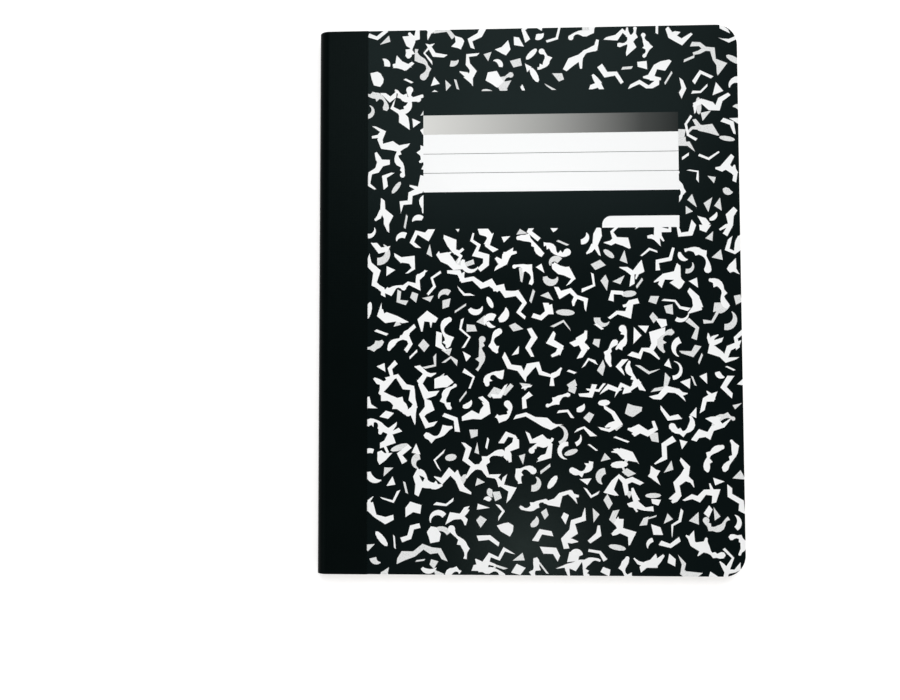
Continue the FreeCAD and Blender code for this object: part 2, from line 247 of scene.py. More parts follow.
def fibre_effect():
    """Paper fibre: a fine mottle for colour and a height for bump, in metres of Object space."""
    group, tree, given = new_effect(
        "paper_fibre",
        [("Fibre length", "NodeSocketFloat", 0.6 * MM), ("Strength", "NodeSocketFloat", 1.0)],
        [("Mottle", "NodeSocketFloat"), ("Height", "NodeSocketFloat")],
    )
    place = tree.add("ShaderNodeTexCoord").outputs["Object"]
    scale = tree.math("DIVIDE", 1.0, given["Fibre length"])
    fine = tree.add("ShaderNodeTexNoise", {"Vector": place, "Scale": scale, "Detail": 3.0})
    broad = tree.add("ShaderNodeTexNoise",
                     {"Vector": place, "Scale": tree.math("MULTIPLY", scale, 0.06), "Detail": 2.0})
    mixed = tree.math("ADD", tree.math("MULTIPLY", fine.outputs[0], 0.6),
                      tree.math("MULTIPLY", broad.outputs[0], 0.4))
    mottle = tree.math("MULTIPLY", tree.math("SUBTRACT", mixed, 0.5), given["Strength"])
    tree.add("NodeGroupOutput", {"Mottle": mottle, "Height": fine.outputs[0]})
    return group


FIBRE = fibre_effect()

LINE_PITCH = 8.7 * MM
LINE_WIDTH = 0.28 * MM
FIRST_LINE = 26.0 * MM
MARGIN_INSET = 31.0 * MM
PAPER_WHITE, PAPER_SHADE = (0.87, 0.865, 0.83, 1), (0.52, 0.50, 0.45, 1)
LINE_BLUE, MARGIN_RED = (0.42, 0.60, 0.80, 1), (0.80, 0.33, 0.36, 1)

# Faces flatter than this are pages, and carry the ruling. The others are cut edges.
PAGE_FLATNESS = 0.75


def ruled_paper():
    """White writing paper with pale blue lines and a red margin, on its flat faces only."""
    material, tree, shader = new_material("ruled_paper")
    fibre = tree.add("ShaderNodeGroup", node_tree=FIBRE)
    fibre.inputs["Fibre length"].default_value = 0.5 * MM
    place = tree.add("ShaderNodeSeparateXYZ",
                     {0: tree.add("ShaderNodeTexCoord").outputs["Object"]})
    x, y, z = place.outputs
    flat = tree.math("GREATER_THAN", flatness(tree), PAGE_FLATNESS)
    below_head = tree.math("SUBTRACT", head_y - FIRST_LINE, y)
    turns = tree.math("DIVIDE", below_head, LINE_PITCH)
    away = tree.math("ABSOLUTE", tree.math("SUBTRACT", turns, tree.math("ROUND", turns)))
    line = tree.math("LESS_THAN", away, 0.5 * LINE_WIDTH / LINE_PITCH)
    on_page = tree.math("GREATER_THAN", turns, -0.5)
    blue = tree.math("MULTIPLY", tree.math("MULTIPLY", line, on_page), flat)
    beside = tree.math("SUBTRACT", x, spine_x + MARGIN_INSET)
    red = tree.math("MULTIPLY",
                    tree.math("LESS_THAN", tree.math("ABSOLUTE", beside), 0.5 * LINE_WIDTH), flat)
    leaf = tree.math("DIVIDE", z, LEAF_PITCH)
    leaf_tone = tree.add("ShaderNodeTexWhiteNoise", {"W": tree.math("FLOOR", leaf)},
                         noise_dimensions="1D").outputs["Value"]
    tone = tree.math("ADD", tree.math("MULTIPLY", leaf_tone, 0.10),
                     tree.math("MULTIPLY", fibre.outputs["Mottle"], 0.10))
    edge_dark = tree.math("MULTIPLY", tree.math("SUBTRACT", 1.0, flat), tone)
    lined = tree.mix(blue, tree.mix(edge_dark, PAPER_WHITE, PAPER_SHADE), LINE_BLUE)
    colour = tree.mix(red, lined, MARGIN_RED)
    bump = tree.add("ShaderNodeBump", {"Height": fibre.outputs["Height"],
                                       "Distance": 0.02 * MM, "Strength": 0.5})
    tree.join(colour, shader.inputs["Base Color"])
    tree.join(bump.outputs[0], shader.inputs["Normal"])
    shader.inputs["Roughness"].default_value = 0.85
    shader.inputs["Specular IOR Level"].default_value = 0.25
    return material


def leaves():
    """The whole section: nested, given the thickness of paper, and made plain."""
    paper = ruled_paper()
    source = place_piece("leaf_source", outer_leaf_mesh())
    nest = source.modifiers.new("nest", "NODES")
    nest.node_group = nested_leaves_tree(paper)
    thick = source.modifiers.new("thick", "SOLIDIFY")
    thick.thickness = LEAF_PAPER
    thick.offset = 1
    piece = evaluated_copy("ruled_leaves", source)
    piece.data.shade_smooth()
    piece.data.set_sharp_from_angle(angle=math.radians(35))
    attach(piece, "book_block")
    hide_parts("page_block")


leaves()


# Sewing thread
# A white cotton lockstitch runs down the fold, through all the sheets. The tape covers its
# outer run, so it stays as the plain solid, with a twisted finish.

COTTON_SHADE, COTTON_WHITE = (0.62, 0.61, 0.57, 1), (0.90, 0.89, 0.86, 1)
TWIST_ANGLE = math.radians(40)


def twisted_thread():
    """White cotton twisted slantwise along its length, with painted shade in the twist's grooves."""
    material, tree, shader = new_material("white_thread")
    place = tree.add("ShaderNodeTexCoord").outputs["Object"]
    twisted = tree.add("ShaderNodeMapping", {"Vector": place, "Rotation": (0, 0, TWIST_ANGLE)})
    ply = tree.add("ShaderNodeTexWave", {"Vector": twisted.outputs[0], "Scale": 900.0,
                                         "Distortion": 1.0}, wave_type="BANDS")
    # The grey bands are painted shade in the twist's grooves; the cotton itself is white all through.
    colour = tree.mix(ply.outputs["Fac"], COTTON_SHADE, COTTON_WHITE)
    bump = tree.add("ShaderNodeBump", {"Height": ply.outputs["Fac"], "Distance": 0.08 * MM})
    tree.join(colour, shader.inputs["Base Color"])
    tree.join(bump.outputs[0], shader.inputs["Normal"])
    shader.inputs["Roughness"].default_value = 0.8
    return material


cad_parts["sewing_thread"].data.materials.clear()
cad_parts["sewing_thread"].data.materials.append(twisted_thread())


# Cover boards
# Two pressed boards, lined with white paper on both faces. The cut edges show the greyer core,
# slightly crushed by the knife. Each stops short of the spine, where the cover turns.

EDGE_CRUSH = 0.07 * MM
CORE_DARK, CORE_PALE = (0.34, 0.32, 0.28, 1), (0.66, 0.63, 0.57, 1)
LINER_WHITE, LINER_SHADE = (0.915, 0.93, 0.935, 1), (0.71, 0.72, 0.71, 1)

# Faces flatter than this are covered by the liner. The others show the core.
LINER_FLATNESS = 0.5


def cover_outline(left, inset=0.0, corner_steps=14):
    """Points (x, y) round a cover from its lower left corner, with two round corners."""
    right, top, radius = fore_x - inset, head_y - inset, CORNER_RADIUS - inset
    points = [(left, -top)]
    for centre_y, start in ((-top + radius, -0.5 * math.pi), (top - radius, 0.0)):
        for step in range(corner_steps + 1):
            angle = start + 0.5 * math.pi * step / corner_steps
            x = right - radius + radius * math.cos(angle)
            points.append((x, centre_y + radius * math.sin(angle)))
    points.append((left, top))
    return points


def crushed_board_mesh(name, z_low, z_high):
    """A plate through four rings of points, so that both its arrises are softened."""
    rings = [
        [(x, y, z) for x, y in cover_outline(board_x + inset, inset)]
        for inset, z in ((EDGE_CRUSH, z_low), (0.0, z_low + EDGE_CRUSH),
                         (0.0, z_high - EDGE_CRUSH), (EDGE_CRUSH, z_high))
    ]
    count = len(rings[0])
    faces = [tuple(reversed(range(count)))]
    for ring in range(3):
        for i in range(count):
            j = (i + 1) % count
            faces.append((ring * count + i, ring * count + j,
                          (ring + 1) * count + j, (ring + 1) * count + i))
    faces.append(tuple(3 * count + i for i in range(count)))
    mesh = bpy.data.meshes.new(name)
    mesh.from_pydata([point for ring in rings for point in ring], [], faces)
    return mesh


def grain_effect():
    """The faint grain of calendered card under a print: a roughness shift and a height."""
    group, tree, given = new_effect(
        "card_grain",
        [("Grain size", "NodeSocketFloat", 0.8 * MM)],
        [("Shift", "NodeSocketFloat"), ("Height", "NodeSocketFloat")],
    )
    place = tree.add("ShaderNodeTexCoord").outputs["Object"]
    scale = tree.math("DIVIDE", 1.0, given["Grain size"])
    pores = tree.add("ShaderNodeTexNoise", {"Vector": place, "Scale": scale, "Detail": 4.0})
    cloud = tree.add("ShaderNodeTexNoise",
                     {"Vector": place, "Scale": tree.math("MULTIPLY", scale, 0.02), "Detail": 2.0})
    shift = tree.math("ADD", tree.math("SUBTRACT", cloud.outputs[0], 0.5),
                      tree.math("MULTIPLY", tree.math("SUBTRACT", pores.outputs[0], 0.5), 0.4))
    tree.add("NodeGroupOutput", {"Shift": shift, "Height": pores.outputs[0]})
    return group


GRAIN = grain_effect()


def finish_card(tree, shader, roughness, specular, depth=0.006 * MM):
    """Give a printed or lined card its grain, gloss and faint relief."""
    grain = tree.add("ShaderNodeGroup", node_tree=GRAIN)
    rough = tree.math("ADD", roughness, tree.math("MULTIPLY", grain.outputs["Shift"], 0.12))
    bump = tree.add("ShaderNodeBump", {"Height": grain.outputs["Height"], "Distance": depth,
                                       "Strength": 0.6})
    tree.join(rough, shader.inputs["Roughness"])
    tree.join(bump.outputs[0], shader.inputs["Normal"])
    shader.inputs["Specular IOR Level"].default_value = specular


def lined_board():
    """White liner on the flat faces, and a pale grey fibrous core at the cut edges."""
    material, tree, shader = new_material("lined_board")
    fibre = tree.add("ShaderNodeGroup", node_tree=FIBRE)
    fibre.inputs["Fibre length"].default_value = 0.35 * MM
    flat = tree.math("GREATER_THAN", flatness(tree), LINER_FLATNESS)
    core = tree.mix(tree.math("ADD", 0.5, fibre.outputs["Mottle"]), CORE_DARK, CORE_PALE)
    liner_tone = tree.math("MULTIPLY", fibre.outputs["Mottle"], 0.08)
    colour = tree.mix(flat, core, tree.mix(liner_tone, LINER_WHITE, LINER_SHADE))
    tree.join(colour, shader.inputs["Base Color"])
    finish_card(tree, shader, roughness=0.42, specular=0.2)
    return material


LINED_BOARD = lined_board()


def cover_board(name, node, body):
    """One board in its place, turning with its own cover."""
    low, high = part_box(node)
    mesh = crushed_board_mesh(name, low.z, high.z)
    mesh.materials.append(LINED_BOARD)
    mesh.shade_smooth()
    mesh.set_sharp_from_angle(angle=math.radians(50))
    piece = place_piece(name, mesh)
    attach(piece, body)
    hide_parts(node)


cover_board("front_cover_board", "front_cover", "front_board")
cover_board("back_cover_board", "back_cover", "back_board")


# Marbled print
# Each cover is printed black beyond the tape, with crisp flecks left white, and some of them
# screened to a light grey. The ink is a thin film with the flecks cut out of it.

tape_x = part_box("front_tape")[1].x
INK_BED = 0.006 * MM
PRINT_MARGIN = EDGE_CRUSH

# Kinds of fleck, in the order they are thrown: the most on one cover, and the share screened.
# The flecks' own measures are counted in FLECK, so that they all grow together. CELL is the grid
# that keeps them apart, and SPECK is the least area that prints.
FLECK = 1.2 * MM
FLECK_KINDS = (("branch", 100, 0.07), ("curl", 64, 0.10), ("lump", 20, 0.08),
               ("ribbon", 100, 0.22), ("hook", 66, 0.36), ("shard", 215, 0.64))
SLIMNESS = 0.88
THROWS = 60
TOUCHING_SHARE = 0.30
CELL = 0.72 * MM
SPECK = 0.9 * MM * MM
OVERFILL = 1.5
FRONT_SEED, BACK_SEED = 41, 77


def turned(points, angle, origin):
    """Points turned by an angle, then moved to an origin."""
    cos, sin = math.cos(angle), math.sin(angle)
    return [(origin[0] + x * cos - y * sin, origin[1] + x * sin + y * cos) for x, y in points]


def oval(reach_x, reach_y, middle=(0.0, 0.0), steps=10):
    """An oval outline, reaching so far each way from a middle point."""
    angles = [2 * math.pi * step / steps for step in range(steps)]
    return [(middle[0] + reach_x * math.cos(angle), middle[1] + reach_y * math.sin(angle))
            for angle in angles]


def fan(outline, middle=(0.0, 0.0)):
    """Triangles from a middle point to each side of an outline."""
    return [[middle, first, second] for first, second in zip(outline, outline[1:] + outline[:1])]


def band(line, lefts, rights, slant=0.0):
    """Triangles along a crooked line of points, out to its own width on each side of each."""
    rims = []
    for number, (x, y) in enumerate(line):
        x0, y0 = line[max(number - 1, 0)]
        x1, y1 = line[min(number + 1, len(line) - 1)]
        length = math.hypot(x1 - x0, y1 - y0)
        ux, uy = (x1 - x0) / length, (y1 - y0) / length
        lean = slant if number in (0, len(line) - 1) else 0.0
        left, right = SLIMNESS * lefts[number], SLIMNESS * rights[number]
        rims.append(((x - uy * left + ux * lean, y + ux * left + uy * lean),
                     (x + uy * right - ux * lean, y - ux * right - uy * lean)))
    pieces = []
    for (left0, right0), (left1, right1) in zip(rims, rims[1:]):
        pieces += [[left0, right0, right1], [left0, right1, left1]]
    return pieces


def walk(rng, steps, stride, bends):
    """A crooked line of points, centred on its middle."""
    x = y = heading = 0.0
    side = rng.choice((-1, 1))
    points = [(x, y)]
    for _ in range(steps):
        length = stride * rng.uniform(0.75, 1.25)
        x += length * math.cos(heading)
        y += length * math.sin(heading)
        points.append((x, y))
        heading += side * math.radians(rng.uniform(*bends))
        side = -side if rng.random() < 0.75 else side
    mid_x = sum(point[0] for point in points) / len(points)
    mid_y = sum(point[1] for point in points) / len(points)
    return [(px - mid_x, py - mid_y) for px, py in points]


def shard(rng):
    """A small plain fleck: a lens, a thin bar, a triangle or a crooked quadrilateral."""
    form = rng.random()
    if form < 0.2:
        return fan(oval(rng.uniform(2.2, 3.6) * FLECK, rng.uniform(0.9, 1.3) * FLECK))
    if form < 0.32:
        half, width = rng.uniform(1.5, 3.0) * FLECK, [rng.uniform(0.3, 0.6) * FLECK] * 2
        return band([(-half, 0.0), (half, 0.0)], width, width, 0.3 * FLECK)
    count = 3 if form < 0.72 else 4
    outline = []
    for number in range(count):
        angle = 2 * math.pi * (number + rng.uniform(-0.22, 0.22)) / count
        reach = rng.uniform(1.7, 3.5) * FLECK
        outline.append((reach * math.cos(angle), 0.72 * reach * math.sin(angle)))
    return fan(outline)


def lump(rng):
    """A broad fleck with a ragged outline."""
    count = rng.choice((7, 8, 9))
    outline = []
    for number in range(count):
        angle = 2 * math.pi * (number + rng.uniform(-0.25, 0.25)) / count
        reach = rng.uniform(1.3, 4.6) * FLECK
        outline.append((reach * math.cos(angle), 0.8 * reach * math.sin(angle)))
    return fan(outline)


def ribbon(rng):
    """A bent ribbon, broad at the bend, with ends cut at a slant."""
    line = walk(rng, rng.choice((2, 2, 3)), 4.1 * FLECK, (40, 85))
    least = rng.choice((0.35, 0.7, 0.8))
    lefts = [rng.uniform(least, 2 * least) * FLECK for _ in line]
    rights = [rng.uniform(least, 2 * least) * FLECK for _ in line]
    lefts[-1] = rights[-1] = rng.uniform(0.15, 1.1) * FLECK
    return band(line, lefts, rights, rng.uniform(-0.9, 0.9) * FLECK)


def hook(rng):
    """A ribbon bent round in a smooth curve, thick in the middle like a comma."""
    radius = rng.uniform(2.0, 3.6) * FLECK
    sweep = math.radians(rng.uniform(80, 190))
    steps = 9
    wide = rng.uniform(0.8, 1.5) * FLECK
    blunt = rng.uniform(0.1, 0.55)
    line, widths = [], []
    for step in range(steps + 1):
        share = step / steps
        angle = sweep * (share - 0.5)
        line.append((radius * (math.cos(angle) - 0.6), radius * math.sin(angle)))
        widths.append(wide * (0.12 + math.sin(math.pi * (blunt + (1 - blunt) * share))))
    return band(line, widths, widths)


def curl(rng):
    """A smoothly winding fleck, swelling and thinning, with a rounded end and a tooth or two."""
    steps = 11
    stride = rng.uniform(0.85, 1.25) * FLECK
    x = y = heading = 0.0
    bend = math.radians(rng.uniform(8, 19)) * rng.choice((-1, 1))
    turn_at = rng.randrange(3, steps + 3)
    phase = rng.uniform(0, 2 * math.pi)
    line, widths = [(x, y)], [rng.uniform(0.3, 1.0) * FLECK]
    for step in range(1, steps + 1):
        heading += bend if step < turn_at else -bend
        x += stride * math.cos(heading)
        y += stride * math.sin(heading)
        line.append((x, y))
        widths.append((0.95 + 0.45 * math.sin(phase + 0.9 * step)) * FLECK)
    lefts, rights = list(widths), list(widths)
    for side in (lefts, rights):
        side[rng.randrange(2, steps - 1)] += rng.uniform(0.7, 1.6) * FLECK
    middle = line[steps // 2]
    line = [(px - middle[0], py - middle[1]) for px, py in line]
    return band(line, lefts, rights) + fan(oval(widths[-1], widths[-1], line[-1]), line[-1])


def branch(rng):
    """A long jagged fleck: a zigzag of changing width, with pointed teeth and side arms."""
    line = walk(rng, rng.choice((3, 4, 5, 6)), 3.6 * FLECK, (35, 85))
    lefts = [rng.uniform(0.5, 1.7) * FLECK for _ in line]
    rights = [rng.uniform(0.5, 1.7) * FLECK for _ in line]
    lefts[0] = rights[0] = rng.uniform(0.1, 1.2) * FLECK
    lefts[-1] = rights[-1] = rng.uniform(0.1, 1.2) * FLECK
    side = rng.choice((lefts, rights))
    side[rng.randrange(1, len(line) - 1)] = rng.uniform(2.3, 3.4) * FLECK
    pieces = band(line, lefts, rights, rng.uniform(-1.0, 1.0) * FLECK)
    for _ in range(rng.choice((1, 1, 2))):
        x, y = line[rng.randrange(1, len(line) - 1)]
        angle = rng.uniform(0, 2 * math.pi)
        turn = math.radians(rng.uniform(-50, 50))
        near, far = rng.uniform(1.8, 3.0) * FLECK, rng.uniform(1.4, 2.8) * FLECK
        knee = (x + near * math.cos(angle), y + near * math.sin(angle))
        tip = (knee[0] + far * math.cos(angle + turn), knee[1] + far * math.sin(angle + turn))
        widths = [rng.uniform(*bounds) * FLECK for bounds in ((0.9, 1.4), (0.6, 1.2), (0.1, 0.6))]
        pieces += band([(x, y), knee, tip], widths, widths)
    return pieces


MAKERS = {"branch": branch, "curl": curl, "lump": lump, "ribbon": ribbon, "hook": hook,
          "shard": shard}


def cells_under(pieces):
    """The cells of a fine grid that some triangles lie over."""
    cells = set()
    for (ax, ay), (bx, by), (cx, cy) in pieces:
        longest = max(math.hypot(bx - ax, by - ay), math.hypot(cx - ax, cy - ay))
        steps = math.ceil(longest / CELL) + 1
        for i in range(steps + 1):
            for j in range(steps + 1 - i):
                x = ax + ((bx - ax) * i + (cx - ax) * j) / steps
                y = ay + ((by - ay) * i + (cy - ay) * j) / steps
                cells.add((math.floor(x / CELL), math.floor(y / CELL)))
    return cells


def strewn_flecks(seed):
    """Flecks thrown so that most keep clear of one another. Triangles, and if they are grey."""
    rng = random.Random(seed)
    taken = set()
    flecks = []
    for kind, most, grey_share in FLECK_KINDS:
        for _ in range(most):
            may_touch = rng.random() < TOUCHING_SHARE
            for _ in range(THROWS):
                origin = (rng.uniform(tape_x, fore_x), rng.uniform(-head_y, head_y))
                angle = rng.uniform(0, 2 * math.pi)
                pieces = [turned(piece, angle, origin) for piece in MAKERS[kind](rng)]
                cells = cells_under(pieces)
                if may_touch or not cells & taken:
                    break
            else:
                continue
            taken |= {(i + di, j + dj) for i, j in cells for di in (-1, 0, 1) for dj in (-1, 0, 1)}
            grey = rng.random() < grey_share
            flecks += [(piece, grey) for piece in pieces]
    return flecks


def patch(left, top, width, height):
    """A rectangle on a cover, placed from the spine and from the head in millimetres."""
    x, y = spine_x + left * MM, head_y - top * MM
    return [(x, y - height * MM), (x + width * MM, y - height * MM), (x + width * MM, y), (x, y)]


def without_specks(corners, triangles, fields):
    """Give each speck too small to print, such as a chink between flecks, to its surroundings."""
    beside = {}
    for number, (a, b, c) in enumerate(triangles):
        for pair in ((a, b), (b, c), (c, a)):
            beside.setdefault(frozenset(pair), []).append(number)
    settled, seen = list(fields), set()
    for start, field in enumerate(fields):
        if start in seen:
            continue
        seen.add(start)
        island, waiting, area, borders = [], [start], 0.0, {}
        while waiting:
            number = waiting.pop()
            island.append(number)
            a, b, c = triangles[number]
            area += abs((corners[b] - corners[a]).cross(corners[c] - corners[a])) / 2
            for first, second in ((a, b), (b, c), (c, a)):
                for other in beside[frozenset((first, second))]:
                    if fields[other] != field:
                        length = (corners[second] - corners[first]).length
                        borders[fields[other]] = borders.get(fields[other], 0.0) + length
                    elif other not in seen:
                        seen.add(other)
                        waiting.append(other)
        if field != "bare" and area < SPECK and borders:
            heir = max(borders, key=borders.get)
            for number in island:
                settled[number] = heir
    return settled


def split_print(seed, clear, windows, bands):
    """Cut the printed area along every outline. Gives the points and each field's triangles.

    An outline can be so thin that the cutter fills all round it. One that has filled OVERFILL
    times its own area is passed over.
    """
    fields = [("cover", cover_outline(tape_x, PRINT_MARGIN))]
    fields += [("grey" if grey else "white", outline) for outline, grey in strewn_flecks(seed)]
    fields += [("clear", clear)] + [("window", w) for w in windows] + [("band", b) for b in bands]
    points, faces, areas = [], [], []
    for _, outline in fields:
        following = outline[1:] + outline[:1]
        area = sum(x0 * y1 - x1 * y0 for (x0, y0), (x1, y1) in zip(outline, following)) / 2
        areas.append(abs(area))
        ordered = outline if area > 0 else outline[::-1]
        faces.append(list(range(len(points), len(points) + len(outline))))
        points += [Vector(point) for point in ordered]
    cut = delaunay_2d_cdt(points, [], faces, 1, 1e-7)
    corners, triangles, owners = cut[0], cut[2], cut[5]
    filled = [0.0] * len(fields)
    for triangle, inside in zip(triangles, owners):
        a, b, c = (corners[corner] for corner in triangle)
        for number in inside:
            filled[number] += abs((b - a).cross(c - a)) / 2
    printed = []
    for inside in owners:
        kinds = {fields[number][0] for number in inside
                 if filled[number] < OVERFILL * areas[number]}
        if "cover" not in kinds:
            printed.append("bare")
        elif "clear" in kinds:
            printed.append("band" if "band" in kinds else "white" if "window" in kinds else "ink")
        else:
            printed.append("white" if "white" in kinds else "grey" if "grey" in kinds else "ink")
    sorted_out = {"ink": [], "grey": [], "band": []}
    for triangle, field in zip(triangles, without_specks(corners, triangles, printed)):
        if field in sorted_out:
            sorted_out[field].append(tuple(triangle))
    return corners, sorted_out


def film_mesh(name, corners, triangles, z_bed, z_face):
    """A closed film from flat triangles, between the board and its printed face."""
    used = sorted({corner for triangle in triangles for corner in triangle})
    slot = {corner: number for number, corner in enumerate(used)}
    verts = [(corners[c].x, corners[c].y, z) for z in (z_bed, z_face) for c in used]
    count = len(used)
    upward = z_face > z_bed
    open_edges = {}
    faces = []
    for triangle in triangles:
        a, b, c = (slot[corner] for corner in triangle)
        upper, lower = (a + count, b + count, c + count), (c, b, a)
        faces += [upper, lower] if upward else [upper[::-1], lower[::-1]]
        for start, finish in ((a, b), (b, c), (c, a)):
            if (finish, start) in open_edges:
                del open_edges[finish, start]
            else:
                open_edges[start, finish] = True
    for start, finish in open_edges:
        wall = (start, finish, finish + count, start + count)
        faces.append(wall if upward else wall[::-1])
    mesh = bpy.data.meshes.new(name)
    mesh.from_pydata(verts, [], faces)
    return mesh


INK_SHEEN = (0.70, 1.0, 0.98, 1)
INK_DEEP, INK_WORN = (0.0002, 0.0014, 0.0016, 1), (0.0012, 0.0030, 0.0034, 1)
SCREEN_PALE, SCREEN_DOT = (0.71, 0.725, 0.725, 1), (0.40, 0.41, 0.405, 1)


def black_ink():
    """A dense black print with a low varnish, a touch cooler than neutral."""
    material, tree, shader = new_material("black_ink")
    grain = tree.add("ShaderNodeGroup", node_tree=GRAIN)
    grain.inputs["Grain size"].default_value = 1.1 * MM
    tone = tree.math("ADD", 0.5, grain.outputs["Shift"])
    tree.join(tree.mix(tone, INK_DEEP, INK_WORN), shader.inputs["Base Color"])
    finish_card(tree, shader, roughness=0.24, specular=0.04)
    shader.inputs["Specular Tint"].default_value = INK_SHEEN
    return material


def screened_grey():
    """Light grey made of fine black dots on the white liner."""
    material, tree, shader = new_material("screened_grey")
    place = tree.add("ShaderNodeTexCoord").outputs["Object"]
    dots = tree.add("ShaderNodeTexVoronoi", {"Vector": place, "Scale": 2200.0})
    dot = tree.math("LESS_THAN", dots.outputs["Distance"], 0.26)
    tree.join(tree.mix(dot, SCREEN_PALE, SCREEN_DOT), shader.inputs["Base Color"])
    finish_card(tree, shader, roughness=0.42, specular=0.2)
    return material


BLACK_INK = black_ink()
SCREENED_GREY = screened_grey()

# The label, and the back cover's black panel with a blank white field, all in millimetres.
LABEL = {"left": 48.3, "top": 28.9, "width": 115.3, "height": 63.4}
TITLE_HEIGHT, BAND_HEIGHT = 11.0, 8.9
ROW_COUNT, ROW_PITCH, RULE_WIDTH = 3, 8.85, 0.2
TAB_WIDTH, TAB_HEIGHT, TAB_RADIUS = 34.5, 5.3, 4.0
PANEL_WIDTH, PANEL_HEIGHT, PANEL_MARGIN = 50.0, 33.0, 7.0
BLANK_WIDTH, BLANK_HEIGHT = 24.0, 17.0
book_width, book_length = (fore_x - spine_x) / MM, 2 * head_y / MM


def label_rows():
    """The white writing rows, with a fine rule between each two."""
    top = LABEL["top"] + TITLE_HEIGHT + BAND_HEIGHT
    rows = []
    for row in range(ROW_COUNT):
        rule = RULE_WIDTH if row else 0
        rows.append(patch(LABEL["left"], top + row * ROW_PITCH + rule, LABEL["width"],
                          ROW_PITCH - rule))
    return rows


def label_tab(corner_steps=8):
    """The white tab at the label's lower right corner, round at its upper left."""
    left = LABEL["left"] + LABEL["width"] - TAB_WIDTH
    top = LABEL["top"] + LABEL["height"] - TAB_HEIGHT
    low_left, low_right, high_right, high_left = patch(left, top, TAB_WIDTH, TAB_HEIGHT)
    radius = TAB_RADIUS * MM
    arc = []
    for step in range(corner_steps + 1):
        angle = 0.5 * math.pi * (1 + step / corner_steps)
        arc.append((high_left[0] + radius + radius * math.cos(angle),
                    high_left[1] - radius + radius * math.sin(angle)))
    return [low_left, low_right, high_right] + arc


def cover_print(side, node, body, seed, clear, windows, bands=()):
    """Print one cover: its black film, and the grey flecks that lie flush in it."""
    low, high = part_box(node)
    z_face, z_bed = (high.z, low.z - INK_BED) if side == "front" else (low.z, high.z + INK_BED)
    corners, fields = split_print(seed, clear, windows, list(bands))
    for field, name, material in (("ink", f"{side}_black_print", BLACK_INK),
                                  ("grey", f"{side}_grey_flecks", SCREENED_GREY)):
        mesh = film_mesh(name, corners, fields[field], z_bed, z_face)
        mesh.materials.append(material)
        piece = place_piece(name, mesh)
        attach(piece, body)
        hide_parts(node)
    return corners, fields["band"], z_bed, z_face


band_patch = patch(LABEL["left"], LABEL["top"] + TITLE_HEIGHT, LABEL["width"], BAND_HEIGHT)
band_parts = cover_print(
    "front", "front_print", "front_board", FRONT_SEED,
    patch(LABEL["left"], LABEL["top"], LABEL["width"], LABEL["height"]),
    label_rows() + [label_tab()], [band_patch])

panel_left = book_width - PANEL_MARGIN - PANEL_WIDTH
panel_top = book_length - PANEL_MARGIN - PANEL_HEIGHT
blank_inset = (PANEL_HEIGHT - BLANK_HEIGHT) / 2
cover_print(
    "back", "back_print", "back_board", BACK_SEED,
    patch(panel_left, panel_top, PANEL_WIDTH, PANEL_HEIGHT),
    [patch(book_width - PANEL_MARGIN - blank_inset - BLANK_WIDTH,
           book_length - PANEL_MARGIN - blank_inset - BLANK_HEIGHT, BLANK_WIDTH, BLANK_HEIGHT)])


# Shaded title band
# A strip above the writing rows, printed as a fine screen that runs from light grey at the
# spine side to near black at the other end.

# How light the screen is, at shares of the way from the spine side.
BAND_TONES = ((0.0, 0.67), (0.25, 0.51), (0.5, 0.33), (0.7, 0.165), (0.86, 0.05), (1.0, 0.015))


def shaded_band():
    """The same ink, laid thinner and thinner towards the spine side."""
    material, tree, shader = new_material("shaded_band")
    place = tree.add("ShaderNodeTexCoord").outputs["Object"]
    x = tree.add("ShaderNodeSeparateXYZ", {0: place}).outputs["X"]
    left, right = band_patch[0][0], band_patch[1][0]
    share = tree.add("ShaderNodeMapRange", {"Value": x, "From Min": left, "From Max": right})
    shade = tree.add("ShaderNodeValToRGB", {"Fac": share.outputs[0]})
    ramp = shade.color_ramp
    for number, (position, level) in enumerate(BAND_TONES):
        stop = ramp.elements[number] if number < 2 else ramp.elements.new(position)
        stop.position = position
        stop.color = (level, level, 0.97 * level, 1)
    tree.join(shade.outputs[0], shader.inputs["Base Color"])
    finish_card(tree, shader, roughness=0.24, specular=0.04)
    shader.inputs["Specular Tint"].default_value = INK_SHEEN
    return material


band_mesh = film_mesh("title_shade", *band_parts)
band_mesh.materials.append(shaded_band())
title_shade = place_piece("title_shade", band_mesh)
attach(title_shade, "front_board")
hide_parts("title_band")


# Cloth tape
# One strip of black book cloth is glued round the spine and onto both boards. Here it is two
# strips that meet down the middle of the spine, each bent round into its own cover's crease.

# How wide the tape bends beside the spine, and how far its cut edge strays.
CREASE = 0.5 * MM
EDGE_WANDER = 0.05 * MM
FRONT_EDGE_SEED, BACK_EDGE_SEED = 11, 12
# The cloth's two colours: the deep one also paints shade between the threads of the weave.
CLOTH_DEEP, CLOTH_RAISED_PATCH = (0.0002, 0.0008, 0.0008, 1), (0.0010, 0.0024, 0.0024, 1)


def tape_path(side, thickness, fold_steps=14, crease_steps=6, flap_steps=9):
    """Points (x, z) along one face of a tape strip, from mid-spine to the edge on the cover.

    side is 1 for the front strip and -1 for the back one. thickness is how deep the face lies.
    """
    radius, across = mid_z - thickness, shoulder_x - spine_x - thickness
    path = []
    for step in range(fold_steps + 1):
        angle = math.pi - 0.5 * math.pi * step / fold_steps
        path.append((shoulder_x + across * math.cos(angle), radius * math.sin(angle)))
    for step in range(1, crease_steps + 1):
        path.append((shoulder_x + CREASE * step / crease_steps, radius))
    flap_x = shoulder_x + CREASE
    for step in range(1, flap_steps + 1):
        path.append((flap_x + (tape_x - flap_x) * step / flap_steps, radius))
    return [(x, mid_z + side * z) for x, z in path]


